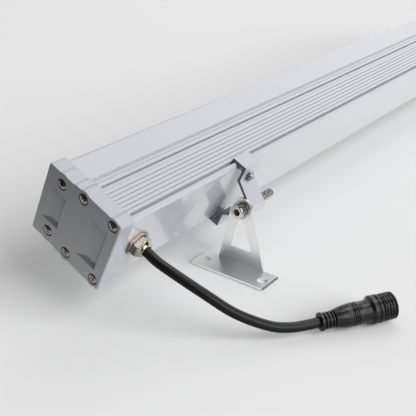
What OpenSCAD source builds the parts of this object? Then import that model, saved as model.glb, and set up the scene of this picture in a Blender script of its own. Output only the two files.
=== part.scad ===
// Outdoor wall washer light: a finned extruded housing with screwed end caps,
// held by two clamps that slide along its grooves and tilt on bent feet.
// Frame: origin on the ground between the four foot holes, +X along the light,
// +Z up. The light leaves through the glass on the +Y side, and the two feet
// carry the housing on its -Y side. A section is drawn upright, with its y
// towards the glass and its z up, and then tilted about the pivot axis.

/* [Light] */
// Overall length over the end caps
total_l = 1000; // [500:10:1500]
// Tilt of the section about the pivot axis, in degrees
tilt = 25.6; // [0:0.1:60]

/* [Housing] */
// Width of the extrusion, from bracket side to glass side
body_w = 70.6; // [66:0.2:80]
// Height of the extrusion
body_h = 63.4; // [61:0.2:75]
// Radius of the extrusion's long corners
body_r = 4; // [2:0.5:6]
// Wall on the bracket side and over the light chamber
wall_t = 2.7; // [2:0.1:3.5]
// Solid metal left under the grooves
groove_floor = 2.7; // [2:0.1:3.5]
// Thickness of the web that carries the LED board
web_t = 3; // [2:0.2:4]
// Depth of the light chamber from the front edge to the web
chamber_d = 22.8; // [22:0.2:25]
// Number of cooling grooves in each row
fin_n = 6; // [3:1:6]
// Distance from one cooling groove to the next
fin_pitch = 3.75; // [3:0.05:3.8]
// Width of a cooling groove
fin_w = 1; // [0.8:0.1:1.8]
// Depth of a cooling groove
fin_d = 1; // [0.8:0.1:2.2]
// Distance from the middle screw channel to the first cooling groove
fin_start = 7; // [6:0.25:7]

/* [Screw channels] */
// Width of the open slot over a channel
slot_w = 3; // [2.6:0.1:3.6]
// Width of the middle channel's deep mouth, at the glass side of its slot
mouth_w = 1.5; // [1.2:0.1:2]
// Depth of the step beside the middle channel's mouth
mouth_step = 0.5; // [0.3:0.1:1]
// Radius of the round bottom of a channel
channel_r = 2.1; // [1.9:0.05:2.5]
// Depth of a channel's centre under the surface
channel_down = 3.3; // [3:0.1:4]
// Distance from the housing's rear edge to the hook groove's slot
hook_edge = 3.5; // [3:0.1:4]
// Distance from the front edge back to the front channel
front_in = 13.55; // [13:0.05:14]
// Depth of the front channel's centre under the surface
front_down = 7.45; // [7:0.05:8]
// Outer radius of the metal round a channel
channel_wall_r = 4; // [3.6:0.1:4.4]

/* [Glass] */
// Thickness of the glass
glass_t = 4; // [3:0.5:5]
// How far the glass lies behind the front edge
glass_in = 2.1; // [1:0.1:3]
// Thickness of the lips over and under the glass
lip_t = 3.9; // [3:0.1:5]
// Thickness of the sealing strip behind the glass
seal_t = 0.6; // [0.4:0.1:1]
// Thickness of the ledge that carries the sealing strip
ledge_t = 2; // [1.5:0.1:2.4]
// Width of the ledge that overlaps the glass
ledge_w = 3.3; // [2.5:0.1:5]

/* [End caps] */
// Depth of an end cap along the light
cap_d = 14; // [10:0.5:20]
// How far the cap stands out past the bracket side and the glass side
cap_side = 2.2; // [1.6:0.1:4]
// How far the cap stands out above the housing at the glass side
cap_low = 1.3; // [1:0.1:2]
// How far the cap stands out above the housing at the bracket side
cap_high = 2.3; // [1:0.1:3]
// Distance of the step between both heights from the section's centre
cap_step = 12; // [8:0.5:14]
// Corner radius of a cap
cap_r = 2.5; // [1:0.5:4]
// Metal round the middle screws
boss_mid_r = 7.1; // [6.6:0.1:8]
// Metal round the screws of the bracket side
boss_rear_r = 6.6; // [6:0.1:7]
// Metal round the screws of the glass side
boss_front_r = 9.5; // [9:0.1:11]
// Depth of the sunk fields in the cap's face
field_d = 1.8; // [1:0.2:3]
// Width of a sunk field's sloping lower border
field_slope = 4; // [2:0.5:5]
// Width of a sunk field's faint border, nearest the glass
field_fade = 8; // [4:0.5:9]
// Width of a sunk field's two other borders
field_edge = 1.6; // [1:0.1:3]
// How far the cap's rim reaches over the housing and the pad
rim_d = 2; // [1.6:0.1:3]
// Thickness of the sealing pad between cap and housing
pad_t = 1; // [0.5:0.1:1.2]
// Width of the bevel along the cap's outer edges
cap_bevel = 0.8; // [0.4:0.1:1.2]

/* [Cap screws] */
// Radius of a screw's head
screw_head_r = 4.3; // [3.8:0.1:4.6]
// Height of a screw's head
screw_head_h = 2.7; // [2:0.1:3.2]
// Radius of a screw's shank
screw_r = 2; // [1.5:0.1:2]
// Length of a screw's shank
screw_l = 22; // [16:1:30]
// Clearance round a screw's head in its counterbore
head_gap = 0.4; // [0.2:0.1:0.6]
// Depth of the counterbore
sink_d = 2.4; // [1.5:0.1:3]

/* [Light source] */
// Number of light-emitting diodes and lenses
led_n = 24; // [6:1:36]
// Width of the circuit board
board_w = 24; // [20:1:32]
// Thickness of the circuit board
board_t = 1.6; // [1:0.2:2]
// Side of a square LED
led_w = 3.4; // [2:0.2:4]
// Height of an LED
led_h = 1.2; // [0.6:0.2:2]
// Outer radius of a lens
lens_r = 10.6; // [8:0.2:11]
// Height of a lens
lens_h = 10.2; // [8:0.2:11]
// Radius of a lens at the board
lens_foot_r = 5; // [3.6:0.2:6]

/* [Driver] */
// Length of the driver
driver_l = 210; // [100:10:300]
// Depth of the driver behind the web
driver_d = 26; // [20:1:30]
// Height of the driver
driver_h = 36; // [20:1:44]
// Distance from the light's near end to the driver
driver_in = 90; // [70:5:150]

/* [Cable gland] */
// Distance of the gland from the near end
gland_in = 31; // [28:0.5:60]
// Size of the gland's hexagon across its flats
gland_af = 19.5; // [16:0.5:20]
// Thickness of the gland's hexagon
gland_hex_h = 2.6; // [2:0.2:5]
// Outer radius of the gland's thread
gland_r = 6.5; // [6:0.1:7]
// Size of the dome nut across its flats
dome_af = 16; // [15:0.5:17]
// Height of the dome nut
dome_h = 8.4; // [5:0.2:9]
// Thickness of the locknut inside
locknut_h = 3; // [2:0.2:4]
// Radius of the cable
cable_r = 4; // [3:0.25:5]
// Thickness of the rubber seal round the cable
gland_seal_t = 0.9; // [0.6:0.1:1.2]

/* [Connector] */
// Radius of the collar at the cable's end
collar_r = 7.15; // [6:0.05:8]
// Length of the collar
collar_l = 2.4; // [2:0.1:6]
// Number of grip ribs behind the collar
rib_n = 3; // [2:1:4]
// Radius of a grip rib
rib_r = 6.5; // [6:0.1:7]
// Distance from one grip rib to the next
rib_pitch = 2.8; // [2.4:0.1:4]
// Thickness of a grip rib
rib_t = 1.4; // [1:0.1:2]
// Core radius under the ribs
neck_r = 5; // [4.6:0.1:5.5]
// Radius of the bottle-shaped part where it starts
flare_r = 6.9; // [6:0.1:7.5]
// Length of the bottle-shaped part
flare_l = 13.5; // [10:0.5:18]
// Radius of the connector's barrel
barrel_r = 9; // [8:0.1:10]
// Length of the barrel
barrel_l = 17; // [12:0.5:18]
// Depth of the three rings cut in the barrel
ring_d = 0.5; // [0.3:0.1:0.8]
// Distance from one ring to the next
ring_pitch = 1.7; // [1.4:0.1:2.2]
// Radius of the flange
flange_r = 11.15; // [10.6:0.05:12]
// Length of the flange
flange_l = 7; // [5:0.5:10]
// Radius over the coarse thread
thread_r = 10.8; // [10:0.1:11.5]
// Length of the coarse thread
thread_l = 12; // [8:0.5:16]
// Number of turns that show on the thread
thread_n = 5; // [3:1:6]
// Wall of the threaded shell
shell_t = 1.6; // [1.2:0.1:2]
// Number of contacts
contact_n = 4; // [2:1:5]

/* [Clamps] */
// Distance from an end of the light to the foot side of the clamp
clamp_in = 141; // [120:1:250]
// Length of a clamp along the light
clamp_l = 20; // [15:1:30]
// Wall of the clamp
clamp_t = 2.5; // [2:0.1:3]
// Thickness of the arm that lies over the housing
arm_t = 2; // [1.6:0.1:2.4]
// Outer distance of the clamp's upright wall from the housing
clamp_out = 7.9; // [7:0.1:10]
// Distance from the housing's top down to the knee of the clamp's wall
knee_down = 11.7; // [10.2:0.5:15.7]
// Distance of the pivot axis from the housing
pivot_out = 21.9; // [20:0.1:28]
// Radius of the clamp round the pivot bolt
pivot_boss_r = 8; // [7:0.5:9]
// Thickness of the rib that guides the clamp on the housing
guide_t = 1.8; // [1.2:0.1:2.4]
// Height of the guide rib
guide_h = 2.5; // [1.5:0.1:4]
// Clearance between clamp and housing
slide_gap = 0.3; // [0.2:0.05:0.45]

/* [Clamp screws] */
// Radius of the clamp screw's head
lock_head_r = 3.8; // [3.2:0.1:4.2]
// Height of the clamp screw's head
lock_head_h = 3.4; // [2:0.1:4]
// Radius of the clamp screw's shank
lock_r = 2; // [1.5:0.1:2.5]
// How far the head of the tightened clamp screw stands off the clamp
lock_proud = 1.7; // [1:0.1:2.5]
// Distance from the housing's top down to the clamp screw
lock_down = 8.4; // [5.4:0.5:8.4]

/* [Pivot bolts] */
// Radius of the pivot bolt
bolt_r = 4; // [3:0.1:4.2]
// Length of the bolt under its head
bolt_l = 45; // [35:1:60]
// Radius of the bolt's head
bolt_head_r = 6.2; // [5.6:0.1:6.6]
// Height of the bolt's head
bolt_head_h = 6; // [4:0.2:7]
// Size of the hexagon socket across its flats
socket_af = 6; // [4:0.5:6]
// Depth of the hexagon socket
socket_d = 3.6; // [2:0.2:4]
// Outer radius of the washer
washer_r = 8; // [7:0.1:8.4]
// Thickness of the washer
washer_t = 1.6; // [1:0.1:2]

/* [Feet] */
// Height of the pivot axis above the ground
pivot_h = 54.4; // [50:0.2:80]
// Thickness of the sheet metal
foot_t = 2; // [1.5:0.1:2.5]
// Width of the base across the light
foot_w = 74; // [70:1:90]
// Depth of the base along the light
foot_d = 24; // [22:1:36]
// Half width of the upright where it leaves the base
leg_half_w = 23.3; // [20:0.1:26]
// Radius of the upright round the pivot
leg_top_r = 10.5; // [9:0.1:12]
// Outer radius of the bend
bend_r = 2.6; // [2.6:0.1:4]
// Radius of the holes in the base
hole_r = 4.5; // [3:0.1:5]
// Distance between the two holes of a foot
hole_step = 60; // [52:1:62]
// Distance of the holes from the base's free edge
hole_in = 11; // [9:0.5:12]
// Height of the window's lower edge above the base
window_low = 13.8; // [10:0.2:18]
// Height of the window's top above the base
window_top = 42.4; // [36:0.2:42.4]
// Width of the window at its lower edge
window_w = 21.7; // [14:0.1:24]
// Radius of the window's rounded top
window_r = 3; // [2:0.1:4]
// Running gap on each side of the upright
turn_gap = 0.2; // [0.1:0.05:0.3]

/* [Hidden] */
$fn = 48;

over = 1;           // overrun of every cut
fit = 0.3;          // clearance of pieces that are laid in
bore_gap = 0.1;     // clearance of screws and bolts in their bores
half_w = body_w / 2;
half_h = body_h / 2;

// Stations along the light, measured from its middle
end_x = total_l / 2;
body_end_x = end_x - cap_d + rim_d - pad_t;
body_l = 2 * body_end_x;
clamp_face_x = end_x - clamp_in;
plate_x = clamp_face_x + turn_gap;
washer_x = plate_x + foot_t + turn_gap;
head_x = washer_x + washer_t;
hole_x = plate_x + foot_d - hole_in;

// Heights of a clamp, measured from the section's centre
knee_h = half_h - knee_down;
lock_up = half_h - lock_down;

// Channel centres in the section
hook_y = -half_w + hook_edge + slot_w / 2;
channel_z = half_h - channel_down;
front_y = half_w - front_in;
front_z = half_h - front_down;

// Planes of the light chamber
web_front_y = half_w - chamber_d;
web_rear_y = web_front_y - web_t;
glass_front_y = half_w - glass_in;
glass_rear_y = glass_front_y - glass_t;
ledge_front_y = glass_rear_y - seal_t;
ledge_rear_y = ledge_front_y - ledge_t;
glass_half_h = half_h - lip_t;
window_half_h = glass_half_h - ledge_w;
cavity_half_h = half_h - fin_d - groove_floor;
cavity_rear_y = -half_w + wall_t;
chamber_half_h = half_h - wall_t;

// Shallow lines between the smooth band and the middle channel
band_line_y = [9.6, 8];
band_line_w = 1.1;
band_line_d = 0.8;
line_y = 5;
line_w = 1.2;
line_d = 0.7;
mark_y = -3.25;
mark_w = 1;
mark_d = 0.4;

// Sunk fields of a cap: each is [outer y, inner y, half height]
front_field_out = 31;
front_field_in = 14;
front_field_h = 15.5;
rear_field_out = 28.6;
rear_field_in = 9.4;
rear_field_h = 19.5;

// Cross recess of a screw
cross_w = 1;
cross_l = 4.6;
cross_d = 1.5;
head_edge = 1.3;    // height of a pan head's upright edge
recess_turn = 35;   // turn of the cross recess in a cap screw

// Gland stations, as distances out from the housing
gland_top = gland_hex_h + dome_h;
stem_past = 1.6;    // length of the stem past its locknut
stem_in = wall_t + locknut_h + stem_past;
gland_bore_r = cable_r + gland_seal_t + bore_gap;
neck_share = 0.55;  // share of the dome nut's height that the body's neck reaches
neck_out = gland_hex_h + dome_h * neck_share;
dome_lip = 1.6;

// Shares that shape the gland: round that trims the hexagon, and the dome nut
hex_out_share = 0.59;
hex_top_share = 0.52;
hex_edge_share = 0.75;
dome_hex_share = 0.6;
dome_middle_share = 0.75;
dome_round_share = 0.875;

// Shares that shape a lens: height of its rim, width of its pocket, depth of its dish
lens_rim_share = 0.86;
lens_pocket_share = 0.6;
lens_dish_share = 0.9;

// Shares that shape the connector: its turns, its rings and its contacts
turn_shares = [0.1, 0.35, 0.65, 0.9];
ring_shares = [0.2, 0.6];
ring_n = 3;
arc_n = 8;
contact_at_share = 0.4;
contact_r_share = 0.11;

// Cable route: hand-set points of the free run, from the ground between the feet
plug_at = [-405.5, -103.2, 9.5];
plug_turn = -34;
plug_rise = 2.4;
plug_straight = 8;
gland_straight = 12;
route_mid = [[-466.7, -14.5, 47.9], [-460.2, -37.5, 36.1], [-451, -59, 23.1],
    [-436.6, -78.9, 13], [-424, -90.4, 9.6]];
cable_sides = 12;
cable_rings = 3;    // rings in each stretch between two points of the route

// Placing pieces

// Draws a section in y and z, l long in x and centred on x = 0
module along(l) {
    rotate([90, 0, 90]) translate([0, 0, -l / 2]) linear_extrude(height = l) children();
}

// Moves pieces from the upright section frame to the tilted housing
module tilted() {
    translate([0, 0, pivot_h]) rotate([tilt, 0, 0])
        translate([0, half_w + pivot_out, 0]) children();
}

// Mirrors pieces from the far end to the near end when near is true
module at_end(near) {
    mirror([near ? 1 : 0, 0, 0]) children();
}

// Draws a piece above and below the section's centre
module both_z() {
    children();
    mirror([0, 1]) children();
}

// Cylinder along x from x0 to x1 about the point y, z
module rod_x(x0, x1, y, z, r) {
    translate([x0, y, z]) rotate([0, 90, 0]) cylinder(h = x1 - x0, r = r);
}

// Rectangle with round corners, centred
module round_rect(w, h, r) {
    square([w - 2 * r, h], center = true);
    square([w, h - 2 * r], center = true);
    for (i = [-1, 1], j = [-1, 1])
        translate([i * (w / 2 - r), j * (h / 2 - r)]) circle(r);
}

// Rectangle between two corners
module box2(y0, z0, y1, z1) {
    translate([y0, z0]) square([y1 - y0, z1 - z0]);
}

// Housing

// Every groove in the upper surface, which is repeated below
module top_grooves() {
    for (i = [0 : fin_n - 1])
        box2(-fin_start - i * fin_pitch - fin_w / 2, half_h - fin_d,
            -fin_start - i * fin_pitch + fin_w / 2, half_h + over);
    for (y = [0, hook_y]) translate([y, channel_z]) circle(channel_r);
    box2(hook_y - slot_w / 2, channel_z, hook_y + slot_w / 2, half_h + over);
    box2(slot_w / 2 - mouth_w, channel_z, slot_w / 2, half_h + over);
    box2(-slot_w / 2, half_h - mouth_step, slot_w / 2, half_h + over);
    for (y = band_line_y)
        box2(y - band_line_w / 2, half_h - band_line_d, y + band_line_w / 2, half_h + over);
    box2(line_y - line_w / 2, half_h - line_d, line_y + line_w / 2, half_h + over);
    box2(mark_y - mark_w / 2, half_h - mark_d, mark_y + mark_w / 2, half_h + over);
}

// Metal round the channels, above the chambers
module channel_walls() {
    for (y = [0, hook_y]) translate([y, channel_z]) circle(channel_wall_r);
    translate([front_y, front_z]) circle(channel_wall_r);
    box2(front_y - channel_wall_r, front_z, front_y + channel_wall_r, half_h);
}

// Rear chamber, light chamber, opening behind the glass and seat of the glass
module hollow() {
    difference() {
        union() {
            box2(cavity_rear_y, -cavity_half_h, web_rear_y, cavity_half_h);
            box2(web_front_y, -chamber_half_h, ledge_rear_y, chamber_half_h);
        }
        both_z() channel_walls();
    }
    box2(ledge_rear_y - over, -window_half_h, ledge_front_y + over, window_half_h);
    box2(ledge_front_y, -glass_half_h, half_w + over, glass_half_h);
}

module housing_section() {
    difference() {
        round_rect(body_w, body_h, body_r);
        both_z() top_grooves();
        hollow();
        both_z() translate([front_y, front_z]) circle(channel_r);
    }
}

module housing() {
    color([0.83, 0.84, 0.86]) tilted() difference() {
        along(body_l) housing_section();
        translate([-end_x + gland_in, -half_w - over, 0]) rotate([-90, 0, 0])
            cylinder(h = wall_t + 2 * over, r = gland_r + bore_gap);
    }
}

// End caps

// Centres of the six screws, as y and z
function screw_places() = [for (s = [-1, 1]) each
    [[0, s * channel_z], [hook_y, s * channel_z], [front_y, s * front_z]]];

module cap_outline() {
    w = half_w + cap_side;
    low = half_h + cap_low;
    high = half_h + cap_high;
    translate([(w + cap_step - cap_r) / 2, 0])
        round_rect(w - cap_step + cap_r, 2 * low, cap_r);
    translate([(cap_step - w) / 2, 0]) round_rect(w + cap_step, 2 * high, cap_r);
    both_z() {
        translate([0, channel_z]) circle(boss_mid_r);
        intersection() {
            translate([hook_y, channel_z]) circle(boss_rear_r);
            box2(-w, 0, 0, half_h + cap_high + boss_rear_r);
        }
        intersection() {
            translate([front_y, front_z]) circle(boss_front_r);
            box2(0, 0, w, half_h + cap_high + boss_front_r);
        }
    }
}

// Sunk field between y0 and y1 with sloping borders, its floor field_d deep
module sunk_field(y0, y1, h) {
    hull() {
        translate([end_x - field_d, y0 + field_edge, -h + field_slope])
            cube([field_d / 2, y1 - y0 - field_edge - field_fade,
                2 * h - field_edge - field_slope]);
        translate([end_x, y0, -h]) cube([over, y1 - y0, 2 * h]);
    }
}

module end_cap() {
    difference() {
        translate([end_x - cap_d / 2, 0, 0]) along(cap_d) cap_outline();
        translate([end_x - cap_d, 0, 0]) along(2 * rim_d)
            round_rect(body_w + 2 * fit, body_h + 2 * fit, body_r + fit);
        sunk_field(front_field_in, front_field_out, front_field_h);
        sunk_field(-rear_field_out, -rear_field_in, rear_field_h);
        for (p = screw_places()) {
            rod_x(end_x - cap_d - over, end_x + over, p[0], p[1], screw_r + head_gap);
            rod_x(end_x - sink_d, end_x + over, p[0], p[1], screw_head_r + head_gap);
        }
        for (s = [-1, 1]) translate([end_x, s * (half_w + cap_side), 0])
            rotate([0, 0, 45])
                cube([cap_bevel * sqrt(2), cap_bevel * sqrt(2), 2 * end_x], center = true);
    }
}

module end_cap_near() {
    color([0.80, 0.81, 0.83]) tilted() at_end(true) end_cap();
}

module end_cap_far() {
    color([0.80, 0.81, 0.83]) tilted() at_end(false) end_cap();
}

module cap_gasket() {
    difference() {
        translate([body_end_x + pad_t / 2, 0, 0]) along(pad_t)
            round_rect(body_w, body_h, body_r);
        for (p = screw_places())
            rod_x(body_end_x - over, body_end_x + pad_t + over, p[0], p[1], screw_r + head_gap);
    }
}

module cap_gasket_near() {
    color([0.2, 0.2, 0.21]) tilted() at_end(true) cap_gasket();
}

module cap_gasket_far() {
    color([0.2, 0.2, 0.21]) tilted() at_end(false) cap_gasket();
}

// Pan-head screw along x: its head's seat is at x = 0 and its head points to +x
module pan_screw(head_r, head_h, shank_r, shank_l) {
    dome_r = (head_r * head_r + pow(head_h - head_edge, 2)) / (2 * (head_h - head_edge));
    difference() {
        union() {
            rotate([0, 90, 0]) rotate_extrude() {
                box2(0, 0, head_r, head_edge);
                intersection() {
                    box2(0, 0, head_r, head_h);
                    translate([0, head_h - dome_r]) circle(dome_r, $fn = 96);
                }
            }
            rod_x(-shank_l, 0, 0, 0, shank_r);
        }
        for (a = [0, 90]) rotate([a, 0, 0])
            translate([head_h - cross_d, -cross_l / 2, -cross_w / 2])
                cube([cross_d + over, cross_l, cross_w]);
    }
}

module cap_screws() {
    for (p = screw_places()) translate([end_x - sink_d, p[0], p[1]])
        rotate([recess_turn, 0, 0]) pan_screw(screw_head_r, screw_head_h, screw_r, screw_l);
}

module cap_screws_near() {
    color([0.78, 0.75, 0.70]) tilted() at_end(true) cap_screws();
}

module cap_screws_far() {
    color([0.78, 0.75, 0.70]) tilted() at_end(false) cap_screws();
}

// Light exit

module glass_cover() {
    color([0.85, 0.92, 0.93, 0.5]) tilted() translate([0, glass_rear_y, -glass_half_h + fit])
        translate([-body_end_x + fit, 0, 0])
            cube([body_l - 2 * fit, glass_t, 2 * glass_half_h - 2 * fit]);
}

module glass_gasket() {
    color([0.15, 0.15, 0.15]) tilted() for (s = [0, 1]) mirror([0, 0, s])
        translate([-body_end_x + fit, ledge_front_y, window_half_h])
            cube([body_l - 2 * fit, seal_t, ledge_w - fit]);
}

// Distance from one LED to the next, and the place of LED number i
led_step = body_l / led_n;
function led_x(i) = (i - (led_n - 1) / 2) * led_step;

module led_board() {
    color([0.93, 0.94, 0.93]) tilted()
        translate([-body_end_x + fit, web_front_y, -board_w / 2])
            cube([body_l - 2 * fit, board_t, board_w]);
}

module leds() {
    color([0.95, 0.85, 0.35]) tilted() for (i = [0 : led_n - 1])
        translate([led_x(i), web_front_y + board_t + led_h / 2, 0])
            cube([led_w, led_h, led_w], center = true);
}

// Collimating lens with a recess over the LED and a dished front
module lens() {
    rotate([-90, 0, 0]) rotate_extrude() difference() {
        polygon([[0, 0], [lens_foot_r, 0], [lens_r, lens_h * lens_rim_share],
            [lens_r, lens_h], [0, lens_h]]);
        box2(-over, -over, lens_foot_r * lens_pocket_share, led_h + board_t);
        translate([0, lens_h + lens_r * lens_dish_share]) circle(lens_r);
    }
}

module lens_array() {
    color([0.9, 0.95, 0.97, 0.6]) tilted() for (i = [0 : led_n - 1])
        translate([led_x(i), web_front_y + board_t, 0]) lens();
}

module driver() {
    color([0.75, 0.76, 0.78]) tilted()
        translate([-end_x + driver_in, web_rear_y - driver_d, -driver_h / 2])
            cube([driver_l, driver_d, driver_h]);
}

// Cable gland

// Places a piece on the gland's axis: its z then leads out of the housing
module on_gland() {
    tilted() translate([-end_x + gland_in, -half_w, 0]) rotate([90, 0, 0]) children();
}

module hexagon(af, h) {
    rotate([0, 0, 30]) cylinder(h = h, r = af / sqrt(3), $fn = 6);
}

module gland_body() {
    color([0.72, 0.66, 0.56]) on_gland() difference() {
        union() {
            intersection() {
                hexagon(gland_af, gland_hex_h);
                rotate_extrude() polygon([[0, 0], [gland_af * hex_out_share, 0],
                    [gland_af * hex_out_share, gland_hex_h * hex_edge_share],
                    [gland_af * hex_top_share, gland_hex_h], [0, gland_hex_h]]);
            }
            translate([0, 0, -stem_in]) cylinder(h = stem_in + neck_out, r = gland_r);
        }
        translate([0, 0, -stem_in - over])
            cylinder(h = stem_in + neck_out + 2 * over, r = gland_bore_r);
    }
}

module gland_locknut() {
    color([0.72, 0.66, 0.56]) on_gland() translate([0, 0, -wall_t - locknut_h]) difference() {
        hexagon(gland_af, locknut_h);
        translate([0, 0, -over]) cylinder(h = locknut_h + 2 * over, r = gland_r + bore_gap);
    }
}

module gland_seal() {
    color([0.08, 0.08, 0.08]) on_gland() translate([0, 0, -stem_in])
        cylinder(h = stem_in + gland_top, r = cable_r + gland_seal_t);
}

module gland_nut() {
    color([0.78, 0.72, 0.62]) on_gland() translate([0, 0, gland_hex_h]) difference() {
        intersection() {
            union() {
                hexagon(dome_af, dome_h * dome_hex_share);
                cylinder(h = dome_h, r = dome_af / 2);
            }
            rotate_extrude() intersection() {
                box2(0, 0, dome_af, dome_h);
                translate([0, -dome_h * dome_middle_share])
                    circle(dome_af * dome_round_share, $fn = 96);
            }
        }
        translate([0, 0, -over]) cylinder(h = dome_h - dome_lip + over, r = gland_r + bore_gap);
        translate([0, 0, -over])
            cylinder(h = dome_h + 2 * over, r = gland_bore_r);
    }
}

// Cable

// Point and direction at which the cable leaves the gland
gland_y = -gland_top + pivot_out;
exit_at = [-end_x + gland_in, gland_y * cos(tilt), pivot_h + gland_y * sin(tilt)];
exit_dir = [0, -cos(tilt), -sin(tilt)];
plug_dir = [cos(plug_rise) * cos(plug_turn), cos(plug_rise) * sin(plug_turn), sin(plug_rise)];
route = concat([exit_at, exit_at + gland_straight * exit_dir], route_mid,
    [plug_at - plug_straight * plug_dir, plug_at]);

// Smooth curve through the points: stretch i at share u, and its direction
function route_way(i) = i == 0 ? exit_dir * norm(route[1] - route[0])
    : i == len(route) - 1 ? plug_dir * norm(route[i] - route[i - 1])
    : (route[i + 1] - route[i - 1]) / 2;
function route_at(i, u) = (2 * u * u * u - 3 * u * u + 1) * route[i]
    + (u * u * u - 2 * u * u + u) * route_way(i)
    + (3 * u * u - 2 * u * u * u) * route[i + 1]
    + (u * u * u - u * u) * route_way(i + 1);
function route_go(i, u) = (6 * u * u - 6 * u) * route[i]
    + (3 * u * u - 4 * u + 1) * route_way(i)
    + (6 * u - 6 * u * u) * route[i + 1]
    + (3 * u * u - 2 * u) * route_way(i + 1);

stretches = len(route) - 1;
// The first and the last stretch are straight and need no rings between their ends
rings = [for (i = [0 : stretches - 1], k = [0 : cable_rings - 1])
    if (k == 0 || (i > 0 && i < stretches - 1)) [i, k / cable_rings]];
ring_at = concat([for (r = rings) route_at(r[0], r[1])], [plug_at]);
ring_go = concat([for (r = rings) route_go(r[0], r[1])], [plug_dir]);

// Corners of a ring square to the direction d about the point c
function ring(c, d) =
    let (t = d / norm(d), s = cross(t, [0, 0, 1]), a = s / norm(s), b = cross(a, t))
    [for (k = [0 : cable_sides - 1])
        c + cable_r * (cos(360 * k / cable_sides) * a + sin(360 * k / cable_sides) * b)];

module cable() {
    n = len(ring_at);
    m = cable_sides;
    color([0.06, 0.06, 0.06]) polyhedron(
        points = [for (i = [0 : n - 1]) each ring(ring_at[i], ring_go[i])],
        faces = concat([[for (k = [0 : m - 1]) k]],
            [for (i = [0 : n - 2], k = [0 : m - 1])
                [i * m + k, (i + 1) * m + k, i * m + (k + 1) % m]],
            [for (i = [0 : n - 2], k = [0 : m - 1])
                [i * m + (k + 1) % m, (i + 1) * m + k, (i + 1) * m + (k + 1) % m]],
            [[for (k = [0 : m - 1]) n * m - 1 - k]]));
}

// Connector

// Places a piece on the connector's axis: z leads away from the cable
module on_plug() {
    translate(plug_at) rotate([0, 90 - plug_rise, plug_turn]) children();
}

ribs_end = collar_l + rib_n * rib_pitch + (rib_pitch - rib_t) / 2;
flare_end = ribs_end + flare_l;
barrel_end = flare_end + barrel_l;
flange_end = barrel_end + flange_l;
plug_l = flange_end + thread_l;
flange_rise = flange_r - barrel_r;
thread_root_r = thread_r - shell_t / 2;
thread_pitch = thread_l / thread_n;

module connector_body() {
    color([0.07, 0.07, 0.075]) on_plug() rotate_extrude() difference() {
        union() {
            box2(0, 0, collar_r, collar_l);
            box2(0, 0, neck_r, ribs_end);
            for (i = [0 : rib_n - 1])
                box2(0, collar_l + rib_pitch * (i + 1) - rib_t,
                    rib_r, collar_l + rib_pitch * (i + 1));
            // Bottle shape: an arc from the neck that ends level with the barrel
            polygon([for (k = [0 : arc_n]) [flare_r + (barrel_r - flare_r) * sin(90 * k / arc_n),
                    ribs_end + flare_l * k / arc_n],
                [0, flare_end], [0, ribs_end]]);
            box2(0, flare_end, barrel_r, barrel_end);
            polygon([[0, barrel_end - flange_rise], [barrel_r, barrel_end - flange_rise],
                [flange_r, barrel_end], [flange_r, flange_end], [0, flange_end]]);
            box2(0, flange_end, thread_root_r, plug_l);
            for (i = [0 : thread_n - 1]) translate([0, flange_end + thread_pitch * i])
                polygon([[0, thread_pitch * turn_shares[0]],
                    [thread_root_r, thread_pitch * turn_shares[0]],
                    [thread_r, thread_pitch * turn_shares[1]],
                    [thread_r, thread_pitch * turn_shares[2]],
                    [thread_root_r, thread_pitch * turn_shares[3]],
                    [0, thread_pitch * turn_shares[3]]]);
        }
        for (i = [0 : ring_n - 1])
            box2(barrel_r - ring_d, flare_end + (i + ring_shares[0]) * ring_pitch,
                barrel_r + over, flare_end + (i + ring_shares[1]) * ring_pitch);
        box2(-over, flange_end, thread_r - shell_t, plug_l + over);
    }
}

module connector_insert() {
    color([0.12, 0.12, 0.12]) on_plug() translate([0, 0, flange_end]) difference() {
        union() {
            cylinder(h = thread_l - shell_t, r = thread_r - 2 * shell_t);
            cylinder(h = shell_t, r = thread_r - shell_t - bore_gap);
        }
        for (i = [0 : contact_n - 1]) rotate([0, 0, 360 * i / contact_n])
            translate([thread_r * contact_at_share, 0, thread_l / 2])
                cylinder(h = thread_l, r = thread_r * contact_r_share);
    }
}

// Clamps

// Upper half of a clamp's section, with u measured outwards from the housing
module clamp_arm() {
    inner_u = clamp_out - clamp_t;
    arm_z = half_h + slide_gap;
    top_z = arm_z + arm_t;
    hook_u = -hook_edge - slide_gap;
    hook_out_u = hook_u - slot_w + 2 * slide_gap;
    hook_z = channel_z + slide_gap;
    guide_u = slide_gap + guide_t;
    // The sloping wall runs just inside the round of the pivot boss
    touch_r = pivot_boss_r - bore_gap;
    run = [pivot_out - clamp_out, -knee_h];
    slope_a = atan2(run[1], run[0]) + asin(touch_r / norm(run));
    slope = [cos(slope_a), sin(slope_a)];
    inward = clamp_t * [sin(slope_a), -cos(slope_a)];
    knee = [clamp_out, knee_h];
    touch = knee + sqrt(run * run - touch_r * touch_r) * slope;
    knee_in = knee + inward;
    polygon([[hook_out_u, hook_z], [hook_out_u, top_z], [clamp_out, top_z],
        knee, touch, touch + inward + clamp_t * slope, knee_in,
        [inner_u, knee_in[1] - (knee_in[0] - inner_u) * tan(slope_a)],
        [inner_u, arm_z], [guide_u, arm_z], [guide_u, arm_z - guide_h],
        [slide_gap, arm_z - guide_h], [slide_gap, arm_z], [hook_u, arm_z], [hook_u, hook_z]]);
}

module clamp() {
    lock_x = clamp_face_x - clamp_l / 2;
    difference() {
        union() {
            for (s = [0, 1]) mirror([0, 0, s])
                translate([lock_x, -half_w, 0]) mirror([0, 1, 0]) along(clamp_l) clamp_arm();
            rod_x(clamp_face_x - clamp_l, clamp_face_x, -half_w - pivot_out, 0, pivot_boss_r);
        }
        rod_x(clamp_face_x - clamp_l - over, clamp_face_x + over,
            -half_w - pivot_out, 0, bolt_r + bore_gap);
        translate([lock_x, -half_w - clamp_out - over, lock_up]) rotate([-90, 0, 0])
            cylinder(h = clamp_t + 2 * over, r = lock_r + bore_gap);
    }
}

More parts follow.
